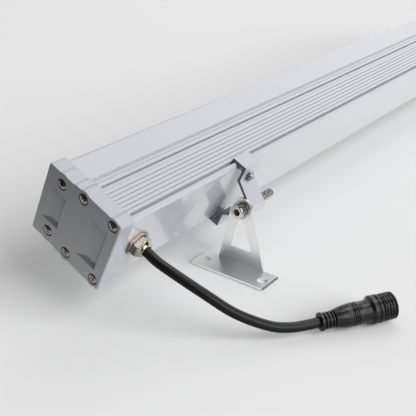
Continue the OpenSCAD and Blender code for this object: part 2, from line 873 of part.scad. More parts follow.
module clamp_near() {
    color([0.70, 0.71, 0.73]) tilted() at_end(true) clamp();
}

module clamp_far() {
    color([0.70, 0.71, 0.73]) tilted() at_end(false) clamp();
}

module clamp_screw() {
    translate([clamp_face_x - clamp_l / 2, -half_w - clamp_out - lock_proud, lock_up])
        rotate([0, 0, -90])
            pan_screw(lock_head_r, lock_head_h, lock_r, clamp_out + lock_proud - slide_gap);
}

module clamp_screw_near() {
    color([0.78, 0.75, 0.70]) tilted() at_end(true) clamp_screw();
}

module clamp_screw_far() {
    color([0.78, 0.75, 0.70]) tilted() at_end(false) clamp_screw();
}

module pivot_bolt() {
    y = -half_w - pivot_out;
    difference() {
        union() {
            rod_x(head_x, head_x + bolt_head_h, y, 0, bolt_head_r);
            rod_x(head_x - bolt_l, head_x, y, 0, bolt_r);
        }
        translate([head_x + bolt_head_h - socket_d, y, 0]) rotate([0, 90, 0])
            hexagon(socket_af, socket_d + over);
    }
}

module pivot_bolt_near() {
    color([0.75, 0.72, 0.67]) tilted() at_end(true) pivot_bolt();
}

module pivot_bolt_far() {
    color([0.75, 0.72, 0.67]) tilted() at_end(false) pivot_bolt();
}

module pivot_washer() {
    y = -half_w - pivot_out;
    difference() {
        rod_x(washer_x, head_x, y, 0, washer_r);
        rod_x(washer_x - over, head_x + over, y, 0, bolt_r + bore_gap);
    }
}

module pivot_washer_near() {
    color([0.78, 0.76, 0.72]) tilted() at_end(true) pivot_washer();
}

module pivot_washer_far() {
    color([0.78, 0.76, 0.72]) tilted() at_end(false) pivot_washer();
}

// Feet

// Outline of the upright: straight sides that touch the round at the pivot
module leg_outline() {
    low = bend_r;
    run = [-leg_half_w, pivot_h - low];
    a = atan2(run[1], run[0]) + asin(leg_top_r / norm(run)) - 180;
    reach = sqrt(run * run - leg_top_r * leg_top_r);
    touch = [leg_half_w, low] + reach * [cos(a + 180 - 2 * asin(leg_top_r / norm(run))),
        sin(a + 180 - 2 * asin(leg_top_r / norm(run)))];
    difference() {
        union() {
            polygon([[leg_half_w, low], touch, [0, pivot_h], [-touch[0], touch[1]],
                [-leg_half_w, low]]);
            translate([0, pivot_h]) circle(leg_top_r);
        }
        translate([0, pivot_h]) circle(bolt_r + turn_gap);
        leg_window();
    }
}

// Window with straight sides and a round top
module leg_window() {
    z0 = foot_t + window_low;
    zc = foot_t + window_top - window_r;
    run = [-window_w / 2, zc - z0];
    b = atan2(run[1], run[0]) - asin(window_r / norm(run));
    reach = sqrt(run * run - window_r * window_r);
    touch = [window_w / 2, z0] + reach * [cos(b), sin(b)];
    polygon([[window_w / 2, z0], touch, [0, zc], [-touch[0], touch[1]], [-window_w / 2, z0]]);
    translate([0, zc]) circle(window_r);
}

module foot() {
    // Upright
    translate([plate_x + foot_t / 2, 0, 0]) along(foot_t) leg_outline();
    // Bend, as wide as the upright
    translate([plate_x + bend_r, leg_half_w, bend_r]) rotate([90, 0, 0])
        linear_extrude(height = 2 * leg_half_w) intersection() {
            difference() {
                circle(bend_r);
                circle(bend_r - foot_t);
            }
            box2(-bend_r, -bend_r, 0, 0);
        }
    // Base with its two holes
    difference() {
        union() {
            translate([plate_x + bend_r, -foot_w / 2, 0]) cube([foot_d - bend_r, foot_w, foot_t]);
            for (s = [-1, 1]) translate([plate_x + bend_r / 2,
                s * (foot_w / 2 + leg_half_w) / 2, foot_t / 2])
                cube([bend_r, foot_w / 2 - leg_half_w, foot_t], center = true);
        }
        for (s = [-1, 1]) translate([hole_x, s * hole_step / 2, -over])
            cylinder(h = foot_t + 2 * over, r = hole_r);
    }
}

module foot_near() {
    color([0.80, 0.80, 0.80]) at_end(true) foot();
}

module foot_far() {
    color([0.80, 0.80, 0.80]) at_end(false) foot();
}

housing();
end_cap_near();
end_cap_far();
cap_gasket_near();
cap_gasket_far();
cap_screws_near();
cap_screws_far();
glass_cover();
glass_gasket();
led_board();
leds();
lens_array();
driver();
gland_body();
gland_locknut();
gland_seal();
gland_nut();
cable();
connector_body();
connector_insert();
clamp_near();
clamp_far();
clamp_screw_near();
clamp_screw_far();
pivot_bolt_near();
pivot_bolt_far();
pivot_washer_near();
pivot_washer_far();
foot_near();
foot_far();
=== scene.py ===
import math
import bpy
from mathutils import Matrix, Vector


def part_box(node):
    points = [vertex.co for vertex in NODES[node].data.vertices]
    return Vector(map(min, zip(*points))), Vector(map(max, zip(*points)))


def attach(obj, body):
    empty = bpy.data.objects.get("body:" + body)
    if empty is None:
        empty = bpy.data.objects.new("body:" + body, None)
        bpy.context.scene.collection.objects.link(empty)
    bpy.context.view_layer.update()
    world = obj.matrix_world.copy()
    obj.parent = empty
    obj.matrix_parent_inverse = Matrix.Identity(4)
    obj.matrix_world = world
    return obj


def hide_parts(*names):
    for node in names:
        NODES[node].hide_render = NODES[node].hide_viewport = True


bl_info = {
    "name": "Wall Washer Light",
    "version": (1, 0, 0),
    "blender": (4, 5, 0),
    "location": "View3D > Sidebar > Wall Washer",
    "description": "Dresses the packed model of a long outdoor wall washer light",
    "category": "Object",
}

import bmesh
import bpy
from mathutils import Matrix, Vector

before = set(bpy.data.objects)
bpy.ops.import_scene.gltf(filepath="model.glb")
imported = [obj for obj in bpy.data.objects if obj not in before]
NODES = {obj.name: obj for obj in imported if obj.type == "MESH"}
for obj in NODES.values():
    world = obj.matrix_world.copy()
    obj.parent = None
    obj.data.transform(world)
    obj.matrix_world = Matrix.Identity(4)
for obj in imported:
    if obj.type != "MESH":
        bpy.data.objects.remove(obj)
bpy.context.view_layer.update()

# Section frame: x along the light, y towards the glass, z up before the tilt
TILT = math.radians(25.6)
PIVOT_HEIGHT = 0.0544
PIVOT_OUT = 0.0219
HALF_WIDTH = 0.0353
HALF_HEIGHT = 0.0317
HALF_LENGTH = 0.5
BODY_HALF = 0.487
# Slots in the top and the underside: y of the hook slot, half a width, and z of rim and floor
HOOK_SLOT = -0.0303
SLOT_HALF_WIDTH = 0.0025
SLOT_TOP = HALF_HEIGHT - 0.0006
SLOT_FLOOR = HALF_HEIGHT - 0.0031
# Clamps, bolt heads and cap screws: x of middle and seats, and (y, z) of each cap screw
CLAMP_MIDDLE = 0.349
CLAMP_HALF_LENGTH = 0.0099
BOLT_SEAT = 0.3626
CAP_SCREW_SEAT = HALF_LENGTH - 0.00245
CAP_SCREW_PLACES = [(y, side * z) for side in (1, -1)
                    for y, z in ((0.0, 0.0284), (-0.0303, 0.0284), (0.02175, 0.02425))]
# Glass and the board behind it, with y of their fronts
GLASS_HALF_LENGTH = 0.4867
GLASS_HALF_HEIGHT = 0.0275
GLASS_FRONT = 0.0332
BOARD_FRONT = 0.0141
LED_HEIGHT = 0.0012
LED_COUNT = 24
# Camera as fitted to the photograph
CAMERA_AT = (-0.8315, -0.3267, 0.3360)
CAMERA_ACROSS = math.radians(37.60)
CAMERA_DOWN = math.radians(26.09)
# Directions across and up in the tilted section, and the section's place in the world
ACROSS_WAY = Vector((0, math.cos(TILT), math.sin(TILT)))
UP_WAY = Vector((0, -math.sin(TILT), math.cos(TILT)))
SECTION = (
    Matrix.Translation((0, 0, PIVOT_HEIGHT))
    @ Matrix.Rotation(TILT, 4, "X")
    @ Matrix.Translation((0, HALF_WIDTH + PIVOT_OUT, 0))
)
# The near end is the far one mirrored
ENDS = {"near": Matrix.Scale(-1, 4, (1, 0, 0)), "far": Matrix.Identity(4)}


# Settings
class CableSizes(bpy.types.PropertyGroup):
    """Sizes of the free cable."""

    width: bpy.props.FloatProperty(
        name="Diameter", description="Diameter of the cable", default=0.008,
        min=0.006, max=0.01, unit="LENGTH",
    )
    sides: bpy.props.IntProperty(
        name="Sides", description="Faces round the cable", default=40, min=12, max=64,
    )
    stretch: bpy.props.IntProperty(
        name="Rings", description="Rings in each stretch of the route", default=12, min=4, max=24,
    )


class ConnectorSizes(bpy.types.PropertyGroup):
    """Sizes of the moulded connector."""

    thread_radius: bpy.props.FloatProperty(
        name="Thread radius", description="Radius over the coarse thread", default=0.0107,
        min=0.01, max=0.0111, unit="LENGTH",
    )
    thread_pitch: bpy.props.FloatProperty(
        name="Thread pitch", description="Distance between two turns of the coarse thread",
        default=0.0024, min=0.0015, max=0.004, unit="LENGTH",
    )
    sides: bpy.props.IntProperty(
        name="Sides", description="Faces round the connector", default=120, min=48, max=160,
    )


class FastenerSizes(bpy.types.PropertyGroup):
    """Sizes of the screws and bolts."""

    head_radius: bpy.props.FloatProperty(
        name="Cap screw head", description="Radius of a cap screw's head", default=0.0043,
        min=0.0038, max=0.0046, unit="LENGTH",
    )
    bolt_pitch: bpy.props.FloatProperty(
        name="Bolt pitch", description="Thread pitch of the pivot bolts", default=0.00125,
        min=0.0008, max=0.0015, unit="LENGTH",
    )
    seed: bpy.props.IntProperty(
        name="Turn seed", description="Seed for how far each screw is turned", default=4,
    )


class ExitSizes(bpy.types.PropertyGroup):
    """Sizes of the small pieces behind the glass."""

    bead: bpy.props.FloatProperty(
        name="Sealant", description="Width of the sealant round the glass", default=0.0016,
        min=0.001, max=0.0019, unit="LENGTH",
    )
    dome: bpy.props.FloatProperty(
        name="Dome", description="Diameter of an LED's silicone dome", default=0.0028,
        min=0.002, max=0.0032, unit="LENGTH",
    )
    seed: bpy.props.IntProperty(
        name="Turn seed", description="Seed for how far each board screw is turned", default=3,
    )


class FinishColours(bpy.types.PropertyGroup):
    """Colours of the finishes."""

    coat: bpy.props.FloatVectorProperty(
        name="Coat", description="Light grey coat of housing and caps", subtype="COLOR",
        size=3, default=(0.425, 0.442, 0.475), min=0, max=1,
    )
    rubber: bpy.props.FloatVectorProperty(
        name="Rubber", description="Cable and connector", subtype="COLOR",
        size=3, default=(0.004, 0.004, 0.0045), min=0, max=1,
    )
    nickel: bpy.props.FloatVectorProperty(
        name="Nickel", description="Plated screws, bolts and gland", subtype="COLOR",
        size=3, default=(0.74, 0.65, 0.56), min=0, max=1,
    )
    sheet: bpy.props.FloatVectorProperty(
        name="Stainless", description="Brushed sheet of the feet", subtype="COLOR",
        size=3, default=(0.96, 0.96, 0.95), min=0, max=1,
    )
    floor: bpy.props.FloatVectorProperty(
        name="Floor", description="Pale floor", subtype="COLOR",
        size=3, default=(0.80, 0.80, 0.80), min=0, max=1,
    )


class StudioLight(bpy.types.PropertyGroup):
    """Levels of the studio light."""

    key: bpy.props.FloatProperty(
        name="Key", description="Level of the broad lamp overhead", default=3.2, min=0,
    )
    key_spread: bpy.props.FloatProperty(
        name="Key spread", description="Width of the broad lamp as an angle",
        default=math.radians(50), min=0, max=math.pi, subtype="ANGLE",
    )
    sky_bright: bpy.props.FloatProperty(
        name="Bright side", description="Level of the room at the far end of the light",
        default=0.565, min=0,
    )
    sky_dark: bpy.props.FloatProperty(
        name="Dark side", description="Level of the room behind the camera", default=0.02, min=0,
    )
    fill: bpy.props.FloatProperty(
        name="Fill", description="Level of the pale wall that the glass faces", default=0.44,
        min=0,
    )
    backdrop: bpy.props.FloatProperty(
        name="Backdrop", description="Level of the plain pale backdrop behind the floor",
        default=0.78, min=0, max=1,
    )
    camera_length: bpy.props.FloatProperty(
        name="Focal length", description="Focal length of the camera in mm", default=66.24,
        min=20, max=200,
    )


class WasherSettings(bpy.types.PropertyGroup):
    """Everything that a user would change."""

    cable: bpy.props.PointerProperty(type=CableSizes)
    connector: bpy.props.PointerProperty(type=ConnectorSizes)
    fasteners: bpy.props.PointerProperty(type=FastenerSizes)
    exit: bpy.props.PointerProperty(type=ExitSizes)
    colours: bpy.props.PointerProperty(type=FinishColours)
    light: bpy.props.PointerProperty(type=StudioLight)


# Shader maths
class Wire:
    """A socket of a material's tree that takes part in sums."""

    def __init__(self, finish, socket):
        self.finish = finish
        self.socket = socket

    def _sum(self, operation, a, b):
        return self.finish.add("ShaderNodeMath", {"operation": operation}, {0: a, 1: b})

    def __add__(self, other):
        return self._sum("ADD", self, other)

    __radd__ = __add__

    def __sub__(self, other):
        return self._sum("SUBTRACT", self, other)

    def __rsub__(self, other):
        return self._sum("SUBTRACT", other, self)

    def __mul__(self, other):
        return self._sum("MULTIPLY", self, other)

    def __pow__(self, other):
        return self._sum("POWER", self, other)

    def clamped(self):
        return self.finish.add("ShaderNodeClamp", {}, {"Value": self})


class Nodes:
    """A shader tree in the making: one method adds any node."""

    def __init__(self, tree):
        self.tree = tree

    def add(self, kind, settings=None, inputs=None, output=0):
        node = self.tree.nodes.new(kind)
        for key, value in (settings or {}).items():
            setattr(node, key, value)
        for key, value in (inputs or {}).items():
            self.feed(node.inputs[key], value)
        return Wire(self, node.outputs[output])

    def feed(self, socket, value):
        """Gives a socket a wire, a colour of three shares or a plain value."""
        if isinstance(value, Wire):
            self.tree.links.new(value.socket, socket)
        elif socket.type == "RGBA":
            socket.default_value = (*value, 1)
        else:
            socket.default_value = value

    def lean(self, vector, way):
        """How far a vector leans towards a direction, from -1 to 1."""
        return self.add("ShaderNodeVectorMath", {"operation": "DOT_PRODUCT"},
                        {0: vector, 1: Vector(way).normalized()}, "Value")

    def size_of(self, value):
        """A value without its sign."""
        return self.add("ShaderNodeMath", {"operation": "ABSOLUTE"}, {0: value})

    def slope(self, value, start, full, low=0.0, high=1.0, kind="SMOOTHSTEP"):
        """From low to high as a value goes from start to full."""
        return self.add("ShaderNodeMapRange", {"interpolation_type": kind},
                        {"Value": value, "From Min": start, "From Max": full,
                         "To Min": low, "To Max": high})


class Finish(Nodes):
    """A material in the making."""

    def __init__(self, name):
        self.material = bpy.data.materials.new(name)
        self.material.use_nodes = True
        super().__init__(self.material.node_tree)
        self.shader = self.tree.nodes["Principled BSDF"]
        self.places = None
        self.normal = None

    def place(self, scale=(1, 1, 1)):
        """Object coordinates in metres, scaled."""
        if self.places is None:
            self.places = self.add("ShaderNodeTexCoord", output="Object")
        return self.add("ShaderNodeMapping", {"vector_type": "POINT"},
                        {"Vector": self.places, "Scale": scale})

    def facing(self, way):
        """How far the surface faces a direction, from -1 to 1."""
        if self.normal is None:
            self.normal = self.add("ShaderNodeTexCoord", output="Normal")
        return self.lean(self.normal, way)

    def noise(self, scale, detail=2.0, rough=0.5, where=None):
        """Clouds from 0 to 1, with scale in clouds to the metre."""
        return self.add("ShaderNodeTexNoise", {}, {
            "Vector": where or self.place(), "Scale": scale, "Detail": detail, "Roughness": rough})

    def blend(self, share, a, b):
        """Colour a turning into colour b as share goes from 0 to 1."""
        return self.add("ShaderNodeMix", {"data_type": "RGBA"}, {0: share, 6: a, 7: b}, 2)

    def bump(self, height, strength, distance, edge=0.0):
        """Normal with a fine relief, and with sharp edges rounded off by edge."""
        inputs = {"Height": height, "Strength": strength, "Distance": distance}
        if edge:
            inputs["Normal"] = self.add("ShaderNodeBevel", {"samples": 6}, {"Radius": edge})
        return self.add("ShaderNodeBump", {}, inputs)

    def set(self, **inputs):
        """Inputs of the shader, by name with _ for a space."""
        for key, value in inputs.items():
            self.feed(self.shader.inputs[key.replace("_", " ")], value)
        return self.material


# Finishes
def scaled(colour, factor):
    """A colour made darker or lighter."""
    return tuple(min(1, share * factor) for share in colour)


def coat_finish(colour):
    """Satin light grey coat over extruded aluminium, with painted light on the walls of the slots.
    """
    f = Finish("grey coat")
    across = f.lean(f.place(), ACROSS_WAY)
    across = across - (HALF_WIDTH + PIVOT_OUT + PIVOT_HEIGHT * math.sin(TILT))
    level = f.size_of(f.lean(f.place(), UP_WAY) - PIVOT_HEIGHT * math.cos(TILT))
    slot_light_depth = f.slope(level, SLOT_TOP, SLOT_TOP - 0.0004)
    slot_light_depth = slot_light_depth * f.slope(level, SLOT_FLOOR, SLOT_FLOOR + 0.0005)
    wide, narrow = SLOT_HALF_WIDTH + 0.0002, SLOT_HALF_WIDTH - 0.0002
    slots = f.slope(f.size_of(across), wide, narrow)
    slots = slots + f.slope(f.size_of(across - HOOK_SLOT), wide, narrow)
    cloud = f.noise(14.0, 3.0)
    grain = f.noise(2600.0, 2.0, 0.6)
    lines = f.noise(1.0, 2.0, 0.6, f.place((6.0, 1500.0, 1500.0)))
    share = (cloud - 0.5) * 0.5 + 0.5
    shades = f.blend(share, scaled(colour, 0.965), scaled(colour, 1.02))
    rough = 0.34 + cloud * 0.06 + grain * 0.05
    height = grain * 0.6 + lines * 0.4
    # Painted light: the walls of both slots are painted pale between just under the rim and just
    # above the floor
    coat = f.blend(slots * slot_light_depth, shades, (0.74, 0.76, 0.78))
    return f.set(Base_Color=coat, Roughness=rough,
                 Coat_Weight=1.0, Coat_Roughness=0.07, Coat_IOR=1.6,
                 Normal=f.bump(height, 0.10, 0.00004, 0.0005))


def cast_finish(colour):
    """The same coat on a cast cap, a little rougher, and darker as painted shade."""
    f = Finish("grey cast coat")
    cloud = f.noise(30.0, 3.0)
    grain = f.noise(1900.0, 3.0, 0.6)
    share = (cloud - 0.5) * 0.6 + 0.5
    # Painted shade: the cap's coat is made darker than the housing's, for the shade on the cap's
    # face
    shades = f.blend(share, scaled(colour, 0.88), scaled(colour, 0.94))
    rough = 0.36 + cloud * 0.08 + grain * 0.06
    # Painted shade: borders of the sunk fields that lean upwards or away from the glass are
    # darkened
    border_shade = f.slope(f.facing(UP_WAY), 0.3, 0.38, 0.0, 0.42)
    border_shade = border_shade + f.slope(f.facing(-ACROSS_WAY), 0.08, 0.16, 0.0, 0.12)
    border_shade = border_shade * f.slope(f.size_of(f.facing((1, 0, 0))), 0.7, 0.78)
    coat = f.blend(border_shade, shades, (0.04, 0.04, 0.045))
    return f.set(Base_Color=coat, Roughness=rough, Coat_Weight=0.4, Coat_Roughness=0.2,
                 Normal=f.bump(grain, 0.18, 0.00006, 0.0011))


def plated_finish(colour, name="nickel plate", corner_shade=2.2, edge=0.0002, under_shade=0.6):
    """Bright plating with faint handling marks.

    Painted shade darkens the corners, and the side that faces down and towards the near end."""
    f = Finish(name)
    marks = f.noise(900.0, 4.0, 0.7)
    cloud = f.noise(160.0, 2.0)
    share = cloud * 0.6 + marks * 0.4
    # Painted shade: corners that the occlusion finds closed in are blended towards a dark colour
    open_air = f.add("ShaderNodeAmbientOcclusion", {"samples": 8}, {"Distance": 0.004}, "AO")
    # Painted shade: the side that faces down and towards the near end is blended towards the same
    # dark colour
    under = f.slope(f.facing((-0.75, -0.1, -0.65)), 0.1, 0.75, 0.0, under_shade)
    shade_colour = (0.06, 0.05, 0.045)
    marks_and_shade = f.blend(under, f.blend(share, scaled(colour, 0.82), colour), shade_colour)
    return f.set(Base_Color=f.blend(open_air ** corner_shade, shade_colour, marks_and_shade), Metallic=1.0,
                 Roughness=0.06 + marks * 0.14,
                 Normal=f.bump(marks, 0.15, 0.00003, edge))


def brushed_finish(colour):
    """Stainless sheet, brushed across the light, with painted shade along the front edge of its
    base.
    """
    f = Finish("brushed stainless")
    fine = f.noise(1.0, 4.0, 0.7, f.place((5000.0, 60.0, 5000.0)))
    wide = f.noise(1.0, 3.0, 0.6, f.place((900.0, 14.0, 900.0)))
    strokes = fine * 0.5 + wide * 0.5
    cloud = f.noise(70.0, 2.0)
    sheet = f.blend(strokes * 0.7 + cloud * 0.3, scaled(colour, 0.84), colour)
    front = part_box("foot_near")[0][1]
    # Painted shade: the front edge of the base plate is painted nearly black
    cut = f.slope(f.lean(f.place(), (0, 1, 0)), front + 0.0003, front + 0.0001)
    return f.set(Base_Color=f.blend(cut * 0.85, sheet, (0.05, 0.05, 0.05)), Metallic=1.0,
                 Roughness=0.24 + strokes * 0.14 + cloud * 0.05,
                 Normal=f.bump(strokes, 0.22, 0.00004, 0.0003))


def clamp_finish(colour):
    """Aluminium extrusion with the same satin coat, and painted shade on its sawn ends."""
    f = Finish("clamp coat")
    lines = f.noise(1.0, 3.0, 0.6, f.place((20.0, 2600.0, 2600.0)))
    cloud = f.noise(90.0, 3.0)
    shades = f.blend(cloud, scaled(colour, 0.95), scaled(colour, 1.08))
    # Painted shade: both sawn ends of the clamp are painted much darker
    off = f.size_of(f.size_of(f.lean(f.place(), (1, 0, 0))) - CLAMP_MIDDLE)
    cut = f.slope(off, CLAMP_HALF_LENGTH - 0.00005, CLAMP_HALF_LENGTH)
    return f.set(Base_Color=f.blend(cut, shades, scaled(colour, 0.24)), Metallic=0.1,
                 Roughness=0.30 + lines * 0.12, Coat_Weight=0.5, Coat_Roughness=0.12,
                 Normal=f.bump(lines, 0.2, 0.00004, 0.0003))


def rubber_finish(colour):
    """Smooth black cable sheath."""
    f = Finish("black sheath")
    grain = f.noise(1500.0, 2.0)
    cloud = f.noise(60.0, 3.0)
    shades = f.blend(cloud, colour, scaled(colour, 1.5))
    # The sheen stays on the upper side, because the pale floor lights the lower one too much
    top = f.slope(f.facing((0, 0, 1)), -0.1, 0.5)
    return f.set(Base_Color=shades, Roughness=0.40 + cloud * 0.12,
                 Specular_IOR_Level=0.12, Coat_Weight=top * 0.7, Coat_Roughness=0.28,
                 Normal=f.bump(grain, 0.12, 0.00004))


def moulded_finish(colour):
    """Moulded black plastic with a fine eroded grain and a patchy sheen on its upper side."""
    f = Finish("black moulding")
    grain = f.noise(2300.0, 3.0, 0.6)
    cloud = f.noise(380.0, 3.0, 0.6)
    shades = f.blend(cloud, colour, scaled(colour, 1.9))
    top = f.slope(f.facing((0, 0, 1)), -0.1, 0.6)
    patches = f.slope(f.noise(300.0, 3.0, 0.6), 0.36, 0.62, 0.4, 1.0)
    return f.set(Base_Color=shades, Roughness=0.24 + cloud * 0.2, Specular_IOR_Level=0.2,
                 Coat_Weight=top * patches, Coat_Roughness=0.27, Coat_IOR=1.6,
                 Normal=f.bump(grain * 0.3 + cloud, 0.3, 0.0003, 0.0002))


def glass_finish():
    """Clear toughened glass with a faint green tint: what it mirrors over what is behind."""
    f = Finish("clear glass")
    cloud = f.noise(25.0, 2.0)
    rim = f.add("ShaderNodeFresnel", {}, {"IOR": 1.5})
    return f.set(Base_Color=(0.86, 0.95, 0.93), Metallic=1.0, Roughness=0.02 + cloud * 0.03,
                 Alpha=(rim * 0.9 + 0.05).clamped())


def lens_finish():
    """Moulded clear acrylic."""
    f = Finish("clear acrylic")
    cloud = f.noise(200.0, 2.0)
    return f.set(Base_Color=(0.97, 0.98, 0.98), Roughness=0.03 + cloud * 0.05,
                 Transmission_Weight=1.0, IOR=1.49, Alpha=0.55)


def board_finish():
    """White solder mask with faint copper areas under it."""
    f = Finish("white solder mask")
    areas = f.add("ShaderNodeTexVoronoi", {"feature": "F1", "distance": "CHEBYCHEV"},
                  {"Vector": f.place(), "Scale": 90.0})
    mark = (areas * 1.6).clamped()
    return f.set(Base_Color=f.blend(mark, (0.80, 0.81, 0.79), (0.74, 0.75, 0.72)),
                 Roughness=0.28 + mark * 0.1)


def mottled_finish(name, scale, dark, light, rough, spread, detail=2.0, metallic=0.0):
    """A small piece's plain finish, clouded in colour and roughness."""
    f = Finish(name)
    cloud = f.noise(scale, detail)
    return f.set(Base_Color=f.blend(cloud, dark, light), Metallic=metallic,
                 Roughness=rough + cloud * spread)


def floor_finish(colour):
    """Pale floor, with painted shade that darkens it a little to the left.

    Mirrors see it brighter, and all but the camera see it black where the camera stands."""
    f = Finish("pale floor")
    spot = f.place()
    # Painted shade: the floor grows a little darker towards the left
    fade = f.slope(f.lean(spot, (-0.61, 0.79, 0)), 0.25, 0.9, kind="LINEAR")
    behind = f.slope(f.lean(spot, (-1, 0, 0)), 0.59, 0.71)
    seen = f.add("ShaderNodeLightPath", output="Is Camera Ray")
    mirrored = f.add("ShaderNodeLightPath", output="Is Glossy Ray")
    direct = f.blend(fade, colour, scaled(colour, 0.93))
    pale = f.blend(mirrored, direct, (0.97, 0.97, 0.97))
    return f.set(Base_Color=f.blend(behind * (1 - seen), pale, (0.03, 0.03, 0.03)),
                 Roughness=0.9, Specular_IOR_Level=0.1)


# What the operators share, by name
finishes, pieces, trees = {}, {}, {}


# Mesh helpers
def add_object(name, data):
    """A new object at the origin, in the scene."""
    item = bpy.data.objects.new(name, data)
    bpy.context.scene.collection.objects.link(item)
    return item


def add_mesh(name, points, faces, finish, body, transform=None, sharp=35):
    """A mesh piece at the origin, riding on body."""
    mesh = bpy.data.meshes.new(name)
    mesh.from_pydata([tuple(p) for p in points], [], faces)
    if transform is not None:
        mesh.transform(transform)
    tidy_mesh(mesh, sharp)
    mesh.materials.append(finishes[finish])
    piece = add_object(name, mesh)
    if body:
        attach(piece, body)
    return piece


def tidy_mesh(mesh, sharp):
    """Merges doubles, turns faces outwards and shades smooth up to an angle."""
    work = bmesh.new()
    work.from_mesh(mesh)
    bmesh.ops.remove_doubles(work, verts=work.verts, dist=1e-7)
    bmesh.ops.recalc_face_normals(work, faces=work.faces)
    work.to_mesh(mesh)
    work.free()
    mesh.shade_smooth()
    mesh.set_sharp_from_angle(angle=math.radians(sharp))


# Corners of a square, counter-clockwise
CORNERS = ((-1, -1), (1, -1), (1, 1), (-1, 1))


def ring_faces(low, high, sides):
    """Faces between two rings of points, numbered from low and from high."""
    faces = []
    for k in range(sides):
        j = (k + 1) % sides
        faces.append((low + k, low + j, high + j, high + k))
    return faces


def tube_faces(rings, sides):
    """Faces of a tube through rings of points, and then its two closed ends."""
    faces = []
    for i in range(rings - 1):
        faces += ring_faces(i * sides, (i + 1) * sides, sides)
    last = (rings - 1) * sides
    return faces + [tuple(range(sides))[::-1], tuple(range(last, last + sides))]


def turned(profile, sides, radius=None):
    """Points and faces of a turned body: profile is a list of (along, radius).

    radius(turn, along, r) may change the radius round the axis z."""
    points = []
    for z, r in profile:
        for k in range(sides):
            a = 2 * math.pi * k / sides
            q = radius(a, z, r) if radius else r
            points.append((q * math.cos(a), q * math.sin(a), z))
    return points, tube_faces(len(profile), sides)


def softened(corners, radius, steps=4):
    """A profile whose corners are rounded by up to radius."""
    out = [corners[0]]
    for before, here, after in zip(corners, corners[1:], corners[2:]):
        p, a, b = Vector(here), Vector(before), Vector(after)
        u, v = a - p, b - p
        cut = min(radius, u.length / 2.2, v.length / 2.2)
        if cut < 1e-6:
            out.append(here)
            continue
        s, e = p + u.normalized() * cut, p + v.normalized() * cut
        for i in range(steps + 1):
            t = i / steps
            out.append(tuple((1 - t) ** 2 * s + 2 * t * (1 - t) * p + t * t * e))
    out.append(corners[-1])
    return out


def ridge(share):
    """Height of a rounded thread at a share of one turn, from 0 to 1."""
    share %= 1.0
    return min(1.0, max(0.0, 1.45 - abs(share - 0.5) * 4.2))


def plain_mesh(piece):
    """Plain mesh of a piece with a live modifier. The piece is removed."""
    graph = bpy.context.evaluated_depsgraph_get()
    mesh = bpy.data.meshes.new_from_object(piece.evaluated_get(graph), depsgraph=graph)
    bpy.data.objects.remove(piece)
    return mesh


def repaint(node, finish):
    """Gives a CAD node its finish."""
    slots = NODES[node].data.materials
    if len(slots) == 0:
        slots.append(None)
    for i in range(len(slots)):
        slots[i] = finishes[finish]


# Cable route, from the gland's mouth to the back of the connector
PLUG_AT = Vector((-0.4055, -0.1032, 0.0095))
PLUG_TURN = math.radians(-34)
PLUG_RISE = math.radians(2.4)
PLUG_WAY = Vector((math.cos(PLUG_RISE) * math.cos(PLUG_TURN),
                   math.cos(PLUG_RISE) * math.sin(PLUG_TURN), math.sin(PLUG_RISE)))
GLAND_TOP = 0.011
GLAND_IN = 0.031
EXIT_AT = SECTION @ Vector((-HALF_LENGTH + GLAND_IN, -HALF_WIDTH - GLAND_TOP, 0))
EXIT_WAY = -ACROSS_WAY
ROUTE_MIDDLE = [(-0.4667, -0.0145, 0.0479), (-0.4602, -0.0375, 0.0361), (-0.451, -0.059, 0.0231),
                (-0.4366, -0.0789, 0.013), (-0.424, -0.0904, 0.0096)]
STRAIGHT_OUT = 0.012
STRAIGHT_IN = 0.008
ROUTE = [EXIT_AT, EXIT_AT + STRAIGHT_OUT * EXIT_WAY, *map(Vector, ROUTE_MIDDLE),
         PLUG_AT - STRAIGHT_IN * PLUG_WAY, PLUG_AT]


def route_way(i):
    """Direction of the cable at a point of its route, about as long as a stretch."""
    if i == 0:
        return EXIT_WAY * (ROUTE[1] - ROUTE[0]).length
    if i == len(ROUTE) - 1:
        return PLUG_WAY * (ROUTE[-1] - ROUTE[-2]).length
    return (ROUTE[i + 1] - ROUTE[i - 1]) / 2


def route_points(rings):
    """Points along the cable, with rings in each stretch, and their directions."""
    points, ways = [], []
    for i in range(len(ROUTE) - 1):
        a, b, p, q = ROUTE[i], ROUTE[i + 1], route_way(i), route_way(i + 1)
        for k in range(rings):
            u = k / rings
            points.append((2 * u**3 - 3 * u**2 + 1) * a + (u**3 - 2 * u**2 + u) * p
                          + (3 * u**2 - 2 * u**3) * b + (u**3 - u**2) * q)
            ways.append(((6 * u**2 - 6 * u) * a + (3 * u**2 - 4 * u + 1) * p
                         + (6 * u - 6 * u**2) * b + (3 * u**2 - 2 * u) * q).normalized())
    points.append(PLUG_AT.copy())
    ways.append(PLUG_WAY.copy())
    return points, ways


# Operators
class WASHER_OT_camera(bpy.types.Operator):
    """Places the camera at the photographed angle."""

    bl_idname = "washer.camera"
    bl_label = "Camera"

    def execute(self, context):
        light = context.scene.washer.light
        data = bpy.data.cameras.new("camera")
        data.lens = light.camera_length
        data.sensor_width = 36
        data.clip_start = 0.02
        data.clip_end = 60
        camera = add_object("camera", data)
        camera.location = CAMERA_AT
        camera.rotation_euler = (math.pi / 2 - CAMERA_DOWN, 0, CAMERA_ACROSS - math.pi / 2)
        context.scene.camera = camera
        return {"FINISHED"}


